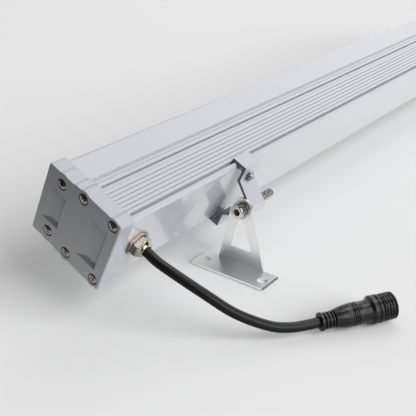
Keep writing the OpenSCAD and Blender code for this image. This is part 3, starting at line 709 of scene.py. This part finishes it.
class WASHER_OT_cable(bpy.types.Operator):
    """Makes the free cable along its route, out of the gland and into the connector."""

    bl_idname = "washer.cable"
    bl_label = "Cable"

    def execute(self, context):
        sizes = context.scene.washer.cable
        points, ways = route_points(sizes.stretch)
        radius = sizes.width / 2
        rings = []
        for point, way in zip(points, ways):
            side = way.cross(Vector((0, 0, 1))).normalized()
            top = side.cross(way)
            for k in range(sizes.sides):
                a = 2 * math.pi * k / sizes.sides
                rings.append(point + radius * (math.cos(a) * side + math.sin(a) * top))
        cable = add_mesh("cable_sheath", rings, tube_faces(len(points), sizes.sides), "rubber",
                         "luminaire")
        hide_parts("cable")
        path, _ = route_points(4)
        length = sum((b - a).length for a, b in zip(path, path[1:]))
        return {"FINISHED"}


class WASHER_OT_connector(bpy.types.Operator):
    """Makes the moulded connector with its grip ribs, rings, key notch and coarse thread."""

    bl_idname = "washer.connector"
    bl_label = "Connector"

    def execute(self, context):
        sizes = context.scene.washer.connector
        thread_r, pitch = sizes.thread_radius, sizes.thread_pitch
        thread_start, thread_end = 0.0494, 0.0606
        socket_floor, socket_r = 0.0492, thread_r - 0.0017
        bore, neck_r, rib_r, body_r, groove_r = 0.0042, 0.005, 0.0065, 0.009, 0.00845
        swell, thread_depth, notch_depth = 0.0021, 0.0009, 0.0017
        notch_at, notch_half, notch_side = map(math.radians, (10, 20, 3))
        # Every pair is a place along the connector and the radius there
        ribs = []
        for i in range(3):
            end = 0.0024 + 0.0028 * (i + 1)
            ribs += [(end - 0.0014, neck_r), (end - 0.0014, rib_r), (end, rib_r), (end, neck_r)]
        bottle = []
        for k in range(13):
            u = k / 12
            bottle.append((0.0115 + 0.0135 * u,
                           body_r - swell + swell * math.sin(u * math.pi / 2)))
        rings = []
        for i in range(3):
            start = 0.0253 + i * 0.0017
            rings += [(start, body_r), (start + 0.0001, groove_r), (start + 0.0006, groove_r),
                      (start + 0.0007, body_r)]
        waist = []
        for k in range(9):
            u = k / 8
            waist.append((0.0304 + 0.0090 * u, body_r - 0.0004 * math.sin(u * math.pi)))
        outer = ([(0.0, bore), (0.0, 0.00715), (0.0024, 0.00715), (0.0024, neck_r)] + ribs
                 + [(0.0115, neck_r)] + bottle + rings + waist
                 + [(0.0404, 0.0092), (0.0420, 0.01115), (0.0447, 0.01115), (0.0449, 0.0102),
                    (0.0463, 0.0102), (0.0465, 0.01105), (0.0490, 0.01105), (0.0490, 0.0102)])
        profile = softened(outer, 0.0004, 3)
        profile += [(thread_start, thread_r - 0.0008)]
        steps = 88
        for i in range(1, steps):
            profile.append((thread_start + (thread_end - thread_start) * i / steps, thread_r))
        profile += softened([(thread_end, thread_r - 0.0002), (0.061, thread_r - 0.0006),
                             (0.061, thread_r - 0.0016), (0.0600, socket_r)], 0.0002, 3)
        profile += [(socket_floor, socket_r), (socket_floor, bore), (0.0, bore)]

        def radius(a, z, r):
            # Coarse thread that fades in and out
            if thread_start < z < thread_end and abs(r - thread_r) < 1e-6:
                fade = min(1, (z - thread_start) / 0.0012, (thread_end - z) / 0.0008)
                height = fade * ridge(z / pitch - a / (2 * math.pi))
                return thread_r - thread_depth + thread_depth * height
            # Key notch through the two collars
            if 0.0418 < z < 0.0491 and r > 0.0103:
                away = abs((a - notch_at + math.pi) % (2 * math.pi) - math.pi)
                return r - notch_depth * min(1, max(0, (notch_half - away) / notch_side))
            return r

        # The profile comes back to its start, so the body needs no end faces
        points, faces = turned(profile, sizes.sides, radius)
        place = Matrix.Translation(PLUG_AT) @ PLUG_WAY.to_track_quat("Z", "Y").to_matrix().to_4x4()
        body = add_mesh("connector_shell", points, faces[:-2], "moulding", "luminaire", place, 40)
        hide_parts("connector_body")
        pieces["connector"] = body
        repaint("connector_insert", "moulding")
        return {"FINISHED"}


class WASHER_OT_gland(bpy.types.Operator):
    """Makes the gland's dome nut, and finishes its body, locknut and seal."""

    bl_idname = "washer.gland"
    bl_label = "Cable gland"

    def execute(self, context):
        for node in ("gland_body", "gland_locknut"):
            repaint(node, "gland")
        repaint("gland_seal", "seal")
        # The nut's foot stands off the bracket side, and flat is half its width across flats
        foot, flat = 0.0026, 0.008
        shoulder = [(0.0, 0.0066), (0.0, 0.0086), (0.0007, 0.0094), (0.0044, 0.0094),
                    (0.0058, 0.0080), (0.0072, 0.0068), (0.0082, 0.0064), (0.0086, 0.0058),
                    (0.0086, 0.0043), (0.0080, 0.0042), (0.0070, 0.0042), (0.0070, 0.0066),
                    (0.0, 0.0066)]

        def hexagon(a, z, r):
            return min(r, flat / math.cos((a + math.pi / 6) % (math.pi / 3) - math.pi / 6))

        points, faces = turned(softened(shoulder, 0.0005), 96, hexagon)
        seat = Matrix.Translation((-HALF_LENGTH + GLAND_IN, -HALF_WIDTH, 0))
        turn = Matrix.Rotation(math.pi / 2, 4, "X") @ Matrix.Translation((0, 0, foot))
        nut = add_mesh("dome_nut", points, faces[:-2], "gland", "luminaire",
                       SECTION @ seat @ turn, 32)
        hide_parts("gland_nut")
        return {"FINISHED"}


def cross_head(name, radius, height, shank_radius, shank_length):
    """A pan-head screw with a cross recess: its seat at z = 0 and its head along +z."""
    edge = 0.0013
    dome = [(edge + (height - edge) * math.sin(t), radius * math.cos(t) ** 0.8)
            for t in [math.pi / 2 * k / 9 for k in range(9)]]
    profile = ([(-shank_length, 0.0004), (-shank_length + 0.0008, shank_radius), (0, shank_radius),
                (0, radius * 0.97), (0.0002, radius)] + dome + [(height, 0.0001)])
    points, faces = turned(profile, 48)
    piece = add_mesh(name, points, faces, "nickel", None)
    cutter = bpy.data.meshes.new(name + "_recess")
    work = bmesh.new()
    # Half width, half depth and level of a block's lower and upper end, in shares of the radius
    arm = ((0.34, 0.09, -0.38), (0.76, 0.19, 0.30))
    core = ((0.18, 0.18, -0.42), (0.32, 0.32, 0.30))
    for (low, high), turn in ((arm, 0), (arm, 90), (core, 45)):
        corners = []
        for wide, deep, level in (low, high):
            for u, v in CORNERS:
                spot = Vector((u * wide * radius, v * deep * radius, height + level * radius))
                corners.append(work.verts.new(Matrix.Rotation(math.radians(turn), 3, "Z") @ spot))
        for face in [(3, 2, 1, 0), (4, 5, 6, 7)] + ring_faces(0, 4, 4):
            work.faces.new([corners[i] for i in face])
    work.to_mesh(cutter)
    work.free()
    cutter.materials.append(finishes["nickel"])
    tool = add_object(name + "_recess", cutter)
    cut = piece.modifiers.new("recess", "BOOLEAN")
    cut.operation = "DIFFERENCE"
    cut.solver = "EXACT"
    cut.use_self = True
    cut.object = tool
    mesh = plain_mesh(piece)
    bpy.data.objects.remove(tool)
    tidy_mesh(mesh, 30)
    return add_object(name, mesh)


def screw_tree():
    """Node tree that sets a screw on each point, turned about its own axis."""
    tree = bpy.data.node_groups.new("screws on points", "GeometryNodeTree")
    face = tree.interface
    names = {}
    for name, kind in (("Geometry", "Geometry"), ("Screw", "Object"), ("Way", "Vector"),
                       ("Seed", "Int"), ("Turn", "Float"), ("Finish", "Material")):
        socket = face.new_socket(name, in_out="INPUT", socket_type="NodeSocket" + kind)
        names[name] = socket.identifier
    face.new_socket("Geometry", in_out="OUTPUT", socket_type="NodeSocketGeometry")
    new = tree.nodes.new
    start, end = new("NodeGroupInput"), new("NodeGroupOutput")
    info = new("GeometryNodeObjectInfo")
    info.transform_space = "ORIGINAL"
    info.inputs["As Instance"].default_value = True
    align = new("FunctionNodeAlignRotationToVector")
    align.axis = "Z"
    spin = new("FunctionNodeRandomValue")
    spin.data_type = "FLOAT"
    spin.inputs[2].default_value = 0.0
    axis = new("FunctionNodeAxisAngleToRotation")
    axis.inputs["Axis"].default_value = (0, 0, 1)
    turn = new("FunctionNodeRotateRotation")
    turn.rotation_space = "LOCAL"
    on = new("GeometryNodeInstanceOnPoints")
    real, paint = new("GeometryNodeRealizeInstances"), new("GeometryNodeSetMaterial")
    for source, output, target, entry in (
            (start, "Geometry", on, "Points"), (start, "Screw", info, "Object"),
            (info, "Geometry", on, "Instance"), (start, "Way", align, "Vector"),
            (start, "Seed", spin, "Seed"), (start, "Turn", spin, 3), (spin, 1, axis, "Angle"),
            (align, "Rotation", turn, "Rotation"), (axis, "Rotation", turn, "Rotate By"),
            (turn, "Rotation", on, "Rotation"), (on, "Instances", real, "Geometry"),
            (real, "Geometry", paint, "Geometry"), (start, "Finish", paint, "Material"),
            (paint, "Geometry", end, "Geometry")):
        tree.links.new(source.outputs[output], target.inputs[entry])
    return tree, names


def slab(length, width, height, edge):
    """Points and faces of a small block with sloping upper edges, on z = 0."""
    points = []
    for z, less in ((-0.0002, 0), (height - edge, 0), (height, edge)):
        for u, v in CORNERS:
            points.append((u * (length / 2 - less), v * (width / 2 - less), z))
    faces = [(3, 2, 1, 0), (8, 9, 10, 11)]
    faces += ring_faces(0, 4, 4) + ring_faces(4, 8, 4)
    return points, faces


def set_screws(name, screw, places, way, seed, finish, body, spin=True):
    """Screws on the places, made by the node tree and turned into a plain mesh."""
    base = bpy.data.meshes.new(name)
    base.from_pydata([tuple(p) for p in places], [], [])
    holder = add_object(name + "_places", base)
    tree, names = trees["screws"]
    live = holder.modifiers.new("screws", "NODES")
    live.node_group = tree
    for key, value in (("Screw", screw), ("Way", tuple(way)), ("Seed", seed),
                       ("Turn", math.pi if spin else 0.0), ("Finish", finishes[finish])):
        live[names[key]] = value
    mesh = plain_mesh(holder)
    mesh.name = name
    row = add_object(name, mesh)
    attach(row, body)
    return row


class WASHER_OT_cap_screws(bpy.types.Operator):
    """Sets six cross-recess screws in each end cap."""

    bl_idname = "washer.cap_screws"
    bl_label = "Cap screws"

    def execute(self, context):
        sizes = context.scene.washer.fasteners
        screw = cross_head("cap_screw", sizes.head_radius, height=0.0027, shank_radius=0.0018,
                           shank_length=0.012)
        for end, mirror in ENDS.items():
            place = SECTION @ mirror
            spots = [place @ Vector((CAP_SCREW_SEAT, y, z)) for y, z in CAP_SCREW_PLACES]
            way = (place.to_3x3() @ Vector((1, 0, 0))).normalized()
            row = set_screws("cap_screw_row_" + end, screw, spots, way,
                             sizes.seed + (end == "far"), "nickel", "luminaire")
            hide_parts("cap_screws_" + end)
        bpy.data.objects.remove(screw)
        return {"FINISHED"}


class WASHER_OT_brackets(bpy.types.Operator):
    """Makes clamp screws and threaded pivot bolts, and finishes clamps, washers and feet."""

    bl_idname = "washer.brackets"
    bl_label = "Brackets"

    def execute(self, context):
        pitch = context.scene.washer.fasteners.bolt_pitch
        seat_out, seat_up = 0.0096, 0.0233
        screw = cross_head("clamp_screw", 0.0038, height=0.0034, shank_radius=0.0019,
                           shank_length=0.0092)
        for end, mirror in ENDS.items():
            place = SECTION @ mirror
            spot = place @ Vector((CLAMP_MIDDLE, -HALF_WIDTH - seat_out, seat_up))
            way = (place.to_3x3() @ Vector((0, -1, 0))).normalized()
            lock = set_screws("lock_screw_" + end, screw, [spot], way, seed=7, finish="nickel",
                              body=end + "_clamp")
            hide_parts("clamp_screw_" + end)
            repaint("clamp_" + end, "clamp")
            repaint("foot_" + end, "sheet")
            repaint("pivot_washer_" + end, "steel")
            self.bolt(end, place, pitch)
        bpy.data.objects.remove(screw)
        return {"FINISHED"}

    def bolt(self, end, place, pitch):
        """Socket-head bolt: z = 0 under the head, the head along +z."""
        sides = 96
        shank_r, root_r, thread_height = 0.004, 0.00336, 0.00062
        head_r, head_height, knurl_depth = 0.0062, 0.006, 0.00035
        socket_half, socket_floor = 0.003, 0.0024
        start, stop = -0.045, -0.022
        steps = 8 * round((stop - start) / pitch)
        profile = [(start, 0.0030), (start + 0.0006, 0.0036)]
        profile += [(start + 0.0006 + (stop - start) * i / steps, shank_r)
                    for i in range(1, steps)]
        profile += [(stop + 0.0007, 0.00398), (0, 0.00398), (0, 0.0059)]
        profile += [(0.0003, head_r), (0.0008, head_r), (0.0045, head_r), (0.0050, 0.00615),
                    (0.0056, 0.0059), (head_height, 0.0054), (head_height, 0.00355)]

        def radius(a, z, r):
            # Thread on the end of the shank
            if start < z < stop + 0.0005 and r > 0.00399:
                fade = min(1, (z - start) / 0.0012)
                return root_r + thread_height * fade * ridge(z / pitch - a / (2 * math.pi))
            # Knurl on the head: every other point lies deeper
            if 0.0007 < z < 0.0046:
                return r - knurl_depth * (round(a * sides / (2 * math.pi)) % 2)
            return r

        points, faces = turned(profile, sides, radius)
        faces = faces[:-1]
        base = (len(profile) - 1) * sides
        # Hexagon socket: the rim turns into a hexagon and goes down to a flat floor
        ring = len(points)
        for depth, scale in ((head_height, 1), (socket_floor, 1), (socket_floor - 0.0002, 0)):
            for k in range(sides):
                a = 2 * math.pi * k / sides
                wedge = (a % (math.pi / 3)) - math.pi / 6
                r = socket_half / math.cos(wedge) * scale
                points.append((r * math.cos(a), r * math.sin(a), depth))
        for low, high in ((base, ring), (ring, ring + sides), (ring + sides, ring + 2 * sides)):
            faces += ring_faces(low, high, sides)
        seat = Matrix.Translation((BOLT_SEAT, -HALF_WIDTH - PIVOT_OUT, 0))
        seat = seat @ Matrix.Rotation(math.pi / 2, 4, "Y")
        bolt = add_mesh("pivot_screw_" + end, points, faces, "steel", end + "_clamp",
                        place @ seat, 40)
        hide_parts("pivot_bolt_" + end)


class WASHER_OT_housing(bpy.types.Operator):
    """Finishes the extruded housing, its end caps and the pads between them."""

    bl_idname = "washer.housing"
    bl_label = "Housing"

    def execute(self, context):
        repaint("housing", "coat")
        for end in ENDS:
            repaint("end_cap_" + end, "cast")
            repaint("cap_gasket_" + end, "seal")
        repaint("driver", "clamp")
        return {"FINISHED"}


class WASHER_OT_light_exit(bpy.types.Operator):
    """Finishes glass, seals and lenses, and lays a bead of sealant round the glass."""

    bl_idname = "washer.light_exit"
    bl_label = "Light exit"

    def execute(self, context):
        repaint("glass_cover", "glass")
        repaint("glass_gasket", "seal")
        repaint("lens_array", "lens")
        self.bead(context.scene.washer.exit.bead)
        return {"FINISHED"}

    def bead(self, size):
        """Fillet of sealant in the corner between the glass and the housing, all round."""
        half_x, half_z, round_r, steps = GLASS_HALF_LENGTH, GLASS_HALF_HEIGHT, 0.0015, 5
        path = []
        for sx, sz, start in ((1, 1, 0), (-1, 1, 90), (-1, -1, 180), (1, -1, 270)):
            for k in range(steps + 1):
                a = math.radians(start + 90 * k / steps)
                path.append((sx * (half_x - round_r) + round_r * math.cos(a),
                             sz * (half_z - round_r) + round_r * math.sin(a), a))
        section = [(0.0, -0.0002), (0.0, size * 0.8), (-size * 0.25, size * 0.34),
                   (-size * 0.55, size * 0.1), (-size, 0.0), (-size, -0.0002)]
        points, faces = [], []
        n = len(section)
        for x, z, a in path:
            for inward, out in section:
                points.append((x + inward * math.cos(a), GLASS_FRONT + out,
                               z + inward * math.sin(a)))
        for i in range(len(path)):
            faces += ring_faces(i * n, (i + 1) % len(path) * n, n)
        bead = add_mesh("glass_bead", points, faces, "seal", "luminaire", SECTION, 50)


class WASHER_OT_board(bpy.types.Operator):
    """Details the board: silicone domes, solder pads, resistors and fixing screws."""

    bl_idname = "washer.board"
    bl_label = "LED board"

    def execute(self, context):
        sizes = context.scene.washer.exit
        repaint("led_board", "board")
        repaint("leds", "package")
        row_up, pad_out, chip_out = 0.0075, 0.0026, 0.0022
        step = 2 * BODY_HALF / LED_COUNT
        at = [(i - (LED_COUNT - 1) / 2) * step for i in range(LED_COUNT)]
        way = (SECTION.to_3x3() @ Vector((0, 1, 0))).normalized()
        # Dome of clear silicone over yellow phosphor, on the package
        r = sizes.dome / 2
        dome = [(-0.0001, r)] + [(r * 0.75 * math.sin(t), r * math.cos(t))
                                 for t in [math.pi / 2 * k / 6 for k in range(6)]]
        dome += [(r * 0.75, 0.00005)]
        domes = self.row("led_domes", turned(dome, 24),
                         [(x, BOARD_FRONT + LED_HEIGHT, 0) for x in at], way, "led", 40)
        pads = [(x + side * pad_out, BOARD_FRONT, 0) for x in at for side in (-1, 1)]
        tinned = self.row("solder_pads", slab(0.0012, 0.003, 0.00025, 0.0002), pads, way,
                          "solder")
        between = [x + step / 2 for x in at[:-1]]
        chips = [(x + side * chip_out, BOARD_FRONT, -row_up)
                 for x in between[::2] for side in (-1, 1)]
        small = self.row("chip_resistors", slab(0.0012, 0.0022, 0.0006, 0.0001), chips, way,
                         "chip")
        screw = cross_head("board_screw", 0.0028, height=0.0018, shank_radius=0.0014,
                           shank_length=0.0024)
        spots = [SECTION @ Vector((x, BOARD_FRONT, row_up)) for x in between[1::3]]
        fixed = set_screws("board_screws", screw, spots, way, sizes.seed, "nickel", "luminaire")
        bpy.data.objects.remove(screw)
        return {"FINISHED"}

    def row(self, name, form, places, way, finish, sharp=30):
        """Copies of one form on the board, all turned alike, made by the node tree."""
        source = add_mesh(name + "_form", *form, finish, None, None, sharp)
        spots = [SECTION @ Vector(p) for p in places]
        row = set_screws(name, source, spots, way, 1, finish, "luminaire", spin=False)
        bpy.data.objects.remove(source)
        return row


class WASHER_OT_stage(bpy.types.Operator):
    """Makes the pale floor and the soft studio light."""

    bl_idname = "washer.stage"
    bl_label = "Stage"

    def execute(self, context):
        light = context.scene.washer.light
        reach, level = 6, -0.0002
        corners = [(x * reach, y * reach, level) for x, y in CORNERS]
        floor = add_mesh("floor", corners, [(0, 1, 2, 3)], "floor", None)
        data = bpy.data.lights.new("key lamp", "SUN")
        data.energy = light.key
        data.angle = light.key_spread
        lamp = add_object("key lamp", data)
        travel = Vector((-0.10, 0.84, -0.53))
        lamp.rotation_euler = travel.to_track_quat("-Z", "Y").to_euler()
        lamp.visible_glossy = False
        world = bpy.data.worlds.new("studio")
        context.scene.world = world
        world.use_nodes = True
        room = Nodes(world.node_tree)
        ray = room.add("ShaderNodeTexCoord", output="Generated")
        plain = room.slope(room.lean(ray, (0.72, -0.50, 0.48)), -0.35, 0.75,
                           light.sky_dark, light.sky_bright)

        def glow(way, start, full, level):
            """Light that rises to level as the ray leans towards a direction."""
            return room.slope(room.lean(ray, way), start, full, 0.0, level)

        fill = glow((0.55, 0.76, 0.35), 0.25, 0.95, light.fill)
        # Mirrored surfaces see a dark room with a bright wall, a bright strip and a bright box
        wall = glow((0.95, 0.05, 0.30), 0.66, 0.97, 0.9)
        strip = glow((-0.16, -0.80, 0.58), 0.84, 0.94, 2.0)
        box = glow((0.30, -0.05, 0.95), 0.93, 0.985, 2.5)
        mirrored = room.add("ShaderNodeLightPath", output="Is Glossy Ray")
        seen = room.add("ShaderNodeLightPath", output="Is Camera Ray")
        lit = fill + plain * (1 - mirrored) + (wall + strip + box + 0.03) * mirrored
        back = world.node_tree.nodes["Background"]
        room.feed(back.inputs["Color"], (1, 1, 1))
        room.feed(back.inputs["Strength"], lit * (1 - seen) + seen * light.backdrop)
        context.scene.view_settings.view_transform = "Standard"
        return {"FINISHED"}


class WASHER_PT_panel(bpy.types.Panel):
    """Lists the steps and the sizes."""

    bl_label = "Wall Washer"
    bl_idname = "WASHER_PT_panel"
    bl_space_type = "VIEW_3D"
    bl_region_type = "UI"
    bl_category = "Wall Washer"

    def draw(self, context):
        settings = context.scene.washer
        for step in STEPS:
            self.layout.operator(step.bl_idname)
        for group in (settings.cable, settings.connector, settings.fasteners, settings.exit,
                      settings.colours, settings.light):
            box = self.layout.box()
            for key in group.__annotations__:
                box.prop(group, key)


STEPS = (WASHER_OT_camera, WASHER_OT_connector, WASHER_OT_cable, WASHER_OT_gland,
         WASHER_OT_cap_screws, WASHER_OT_brackets, WASHER_OT_housing, WASHER_OT_board,
         WASHER_OT_light_exit, WASHER_OT_stage)
GROUPS = (CableSizes, ConnectorSizes, FastenerSizes, ExitSizes, FinishColours, StudioLight,
          WasherSettings)


def make_finishes(colours):
    """Every material, by the name of what it covers."""
    finishes.update(
        coat=coat_finish(colours.coat),
        cast=cast_finish(colours.coat),
        nickel=plated_finish(colours.nickel),
        gland=plated_finish((0.82, 0.70, 0.60), "nickel-plated brass", 1.3, 0.0003),
        steel=plated_finish((0.84, 0.81, 0.77), "bright steel", 0.8, under_shade=0.15),
        sheet=brushed_finish(colours.sheet),
        clamp=clamp_finish(colours.coat),
        rubber=rubber_finish(colours.rubber),
        moulding=moulded_finish(colours.rubber),
        glass=glass_finish(),
        lens=lens_finish(),
        board=board_finish(),
        led=mottled_finish("phosphor", 3000.0, (0.78, 0.60, 0.12), (0.88, 0.72, 0.22), 0.35, 0.2),
        seal=mottled_finish("black silicone", 400.0, (0.02, 0.02, 0.02), (0.035, 0.035, 0.035),
                            0.5, 0.15),
        package=mottled_finish("white package", 2500.0, (0.80, 0.78, 0.70), (0.86, 0.85, 0.80),
                               0.4, 0.15),
        solder=mottled_finish("tinned pad", 700.0, (0.55, 0.55, 0.56), (0.74, 0.74, 0.75),
                              0.2, 0.25, 3.0, 1.0),
        chip=mottled_finish("chip resistor", 900.0, (0.02, 0.02, 0.022), (0.05, 0.05, 0.055),
                            0.3, 0.15),
        floor=floor_finish(colours.floor),
    )


def register():
    for item in GROUPS + STEPS + (WASHER_PT_panel,):
        bpy.utils.register_class(item)
    bpy.types.Scene.washer = bpy.props.PointerProperty(type=WasherSettings)


def unregister():
    del bpy.types.Scene.washer
    for item in reversed(GROUPS + STEPS + (WASHER_PT_panel,)):
        bpy.utils.unregister_class(item)


def main():
    register()
    make_finishes(bpy.context.scene.washer.colours)
    trees["screws"] = screw_tree()
    for step in STEPS:
        group, name = step.bl_idname.split(".")
        getattr(getattr(bpy.ops, group), name)()


if __name__ == "__main__":
    main()
